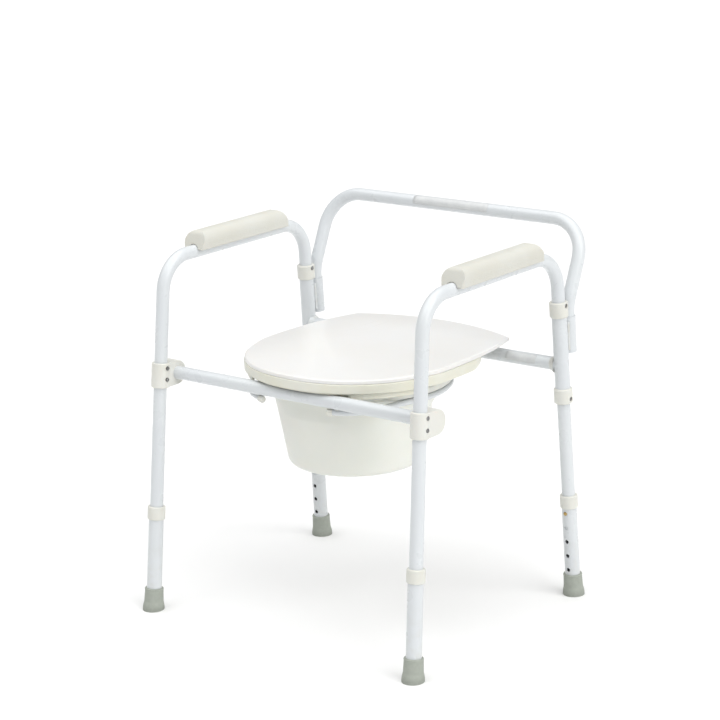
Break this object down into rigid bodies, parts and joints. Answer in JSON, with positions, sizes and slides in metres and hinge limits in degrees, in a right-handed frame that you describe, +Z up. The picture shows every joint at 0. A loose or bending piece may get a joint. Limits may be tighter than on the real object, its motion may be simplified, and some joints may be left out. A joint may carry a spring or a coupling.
{
  "type": "commode chair",
  "caption": "Free-standing toilet chair with a lidded seat over a lift-out pail, tube frame with padded arms, removable backrest and height-adjustable rubber-tipped legs.",
  "frame": {"origin": "centre of the object's bounding box on the floor, between the four feet", "axes": "+Z up, +Y towards the backrest, +X towards the sitter's left-hand side seen from the front, so the user faces -Y"},
  "size_m": [0.5922, 0.5426, 0.6462],
  "materials": {
    "tube_paint": "smooth white powder coat with a light blue-grey cast",
    "weld_paint": "powder coated weld bead",
    "leg_tube": "smooth white powder coat",
    "collar_plastic": "matt cream moulding",
    "bracket_plastic": "matt cream moulding",
    "tip_rubber": "matt grey-green rubber",
    "armrest_plastic": "fine grained warm cream moulding",
    "seat_plastic": "satin cream moulding",
    "lid_plastic": "satin white moulding",
    "pail_plastic": "satin white blown or moulded plastic",
    "clip_plastic": "matt cream moulding",
    "bumper_rubber": "soft matt pad",
    "rail_cap_plastic": "matt cream cap",
    "button_brass": "worn brass plate",
    "spring_steel": "blued spring strip",
    "screw_steel": "zinc plated steel"
  },
  "bodies": {
    "frame": {"side_frame_left": "tube_paint", "rear_sleeve_left": "tube_paint", "back_socket_left": "tube_paint", "collar_upper_left": "collar_plastic", "collar_lower_left": "collar_plastic", "front_bracket_left": "bracket_plastic", "armrest_pad_left": "armrest_plastic", "pail_rail_left": "tube_paint", "side_frame_right": "tube_paint", "rear_sleeve_right": "tube_paint", "back_socket_right": "tube_paint", "collar_upper_right": "collar_plastic", "collar_lower_right": "collar_plastic", "front_bracket_right": "bracket_plastic", "armrest_pad_right": "armrest_plastic", "pail_rail_right": "tube_paint", "front_crossbar": "tube_paint", "rear_crossbar": "tube_paint", "frame_welds": "weld_paint", "armrest_screws": "screw_steel", "pail_rail_caps": "rail_cap_plastic", "bracket_bolts": "screw_steel", "bracket_nuts": "screw_steel", "collar_screws": "screw_steel", "collar_nuts": "screw_steel"},
    "seat": {"seat": "seat_plastic", "seat_clip_left": "clip_plastic", "seat_clip_right": "clip_plastic", "seat_clip_screws": "screw_steel", "seat_bumpers": "bumper_rubber", "lid_hinge_pins": "screw_steel"},
    "lid": {"lid": "lid_plastic"},
    "pail": {"pail": "pail_plastic"},
    "backrest": {"backrest_tube": "tube_paint"},
    "backrest_button_left": {"backrest_button_left": "button_brass", "backrest_spring_left": "spring_steel"},
    "leg_front_left": {"leg_extension_front_left": "leg_tube", "leg_collar_front_left": "collar_plastic", "rubber_tip_front_left": "tip_rubber"},
    "leg_button_front_left": {"leg_button_front_left": "button_brass", "leg_spring_front_left": "spring_steel"},
    "leg_rear_left": {"leg_extension_rear_left": "leg_tube", "leg_collar_rear_left": "collar_plastic", "rubber_tip_rear_left": "tip_rubber"},
    "leg_button_rear_left": {"leg_button_rear_left": "button_brass", "leg_spring_rear_left": "spring_steel"},
    "backrest_button_right": {"backrest_button_right": "button_brass", "backrest_spring_right": "spring_steel"},
    "leg_front_right": {"leg_extension_front_right": "leg_tube", "leg_collar_front_right": "collar_plastic", "rubber_tip_front_right": "tip_rubber"},
    "leg_button_front_right": {"leg_button_front_right": "button_brass", "leg_spring_front_right": "spring_steel"},
    "leg_rear_right": {"leg_extension_rear_right": "leg_tube", "leg_collar_rear_right": "collar_plastic", "rubber_tip_rear_right": "tip_rubber"},
    "leg_button_rear_right": {"leg_button_rear_right": "button_brass", "leg_spring_rear_right": "spring_steel"}
  },
  "joints": [
    {"name": "seat_hinge", "type": "hinge", "parent": "frame", "child": "seat", "pos_m": [0, 0.18052, 0.4086], "axis": [-1, 0, 0], "range_deg": [0, 95]},
    {"name": "lid_hinge", "type": "hinge", "parent": "seat", "child": "lid", "pos_m": [0, 0.2067, 0.43], "axis": [-1, 0, 0], "range_deg": [0, 96.5]},
    {"name": "pail_lift", "type": "slide", "parent": "frame", "child": "pail", "axis": [0, 0, 1], "range_m": [0, 0.103]},
    {"name": "backrest_lift", "type": "slide", "parent": "frame", "child": "backrest", "axis": [0, -0.0482, 0.9988], "range_m": [0, 0.07], "deforming": ["backrest_button_left", "backrest_button_right"]},
    {"name": "backrest_button_press_left", "type": "slide", "parent": "backrest", "child": "backrest_button_left", "axis": [0, -0.9988, -0.0482], "range_m": [0, 0.0037], "stiffness_N_per_m": 900, "deforming": ["backrest_spring_left"]},
    {"name": "leg_slide_front_left", "type": "slide", "parent": "frame", "child": "leg_front_left", "axis": [0.0148, 0.1079, 0.994], "range_m": [0, 0.1016], "deforming": ["leg_button_front_left"]},
    {"name": "leg_button_press_front_left", "type": "slide", "parent": "frame", "child": "leg_button_front_left", "axis": [-0.0016, 0.9942, -0.1079], "range_m": [0, 0.0037], "stiffness_N_per_m": 900, "deforming": ["leg_spring_front_left"]},
    {"name": "leg_slide_rear_left", "type": "slide", "parent": "frame", "child": "leg_rear_left", "axis": [0.0149, -0.0482, 0.9987], "range_m": [0, 0.1016], "deforming": ["leg_button_rear_left"]},
    {"name": "leg_button_press_rear_left", "type": "slide", "parent": "frame", "child": "leg_button_rear_left", "axis": [-0.0007, -0.9988, -0.0482], "range_m": [0, 0.0037], "stiffness_N_per_m": 900, "deforming": ["leg_spring_rear_left"]},
    {"name": "backrest_button_press_right", "type": "slide", "parent": "backrest", "child": "backrest_button_right", "axis": [0, -0.9988, -0.0482], "range_m": [0, 0.0037], "stiffness_N_per_m": 900, "deforming": ["backrest_spring_right"]},
    {"name": "leg_slide_front_right", "type": "slide", "parent": "frame", "child": "leg_front_right", "axis": [-0.0148, 0.1079, 0.994], "range_m": [0, 0.1016], "deforming": ["leg_button_front_right"]},
    {"name": "leg_button_press_front_right", "type": "slide", "parent": "frame", "child": "leg_button_front_right", "axis": [0.0016, 0.9942, -0.1079], "range_m": [0, 0.0037], "stiffness_N_per_m": 900, "deforming": ["leg_spring_front_right"]},
    {"name": "leg_slide_rear_right", "type": "slide", "parent": "frame", "child": "leg_rear_right", "axis": [-0.0149, -0.0482, 0.9987], "range_m": [0, 0.1016], "deforming": ["leg_button_rear_right"]},
    {"name": "leg_button_press_rear_right", "type": "slide", "parent": "frame", "child": "leg_button_rear_right", "axis": [0.0007, -0.9988, -0.0482], "range_m": [0, 0.0037], "stiffness_N_per_m": 900, "deforming": ["leg_spring_rear_right"]}
  ],
  "couplings": [
    {"joint": "pail_lift", "follows": "seat_hinge", "m_per_rad": 0.062}
  ]
}
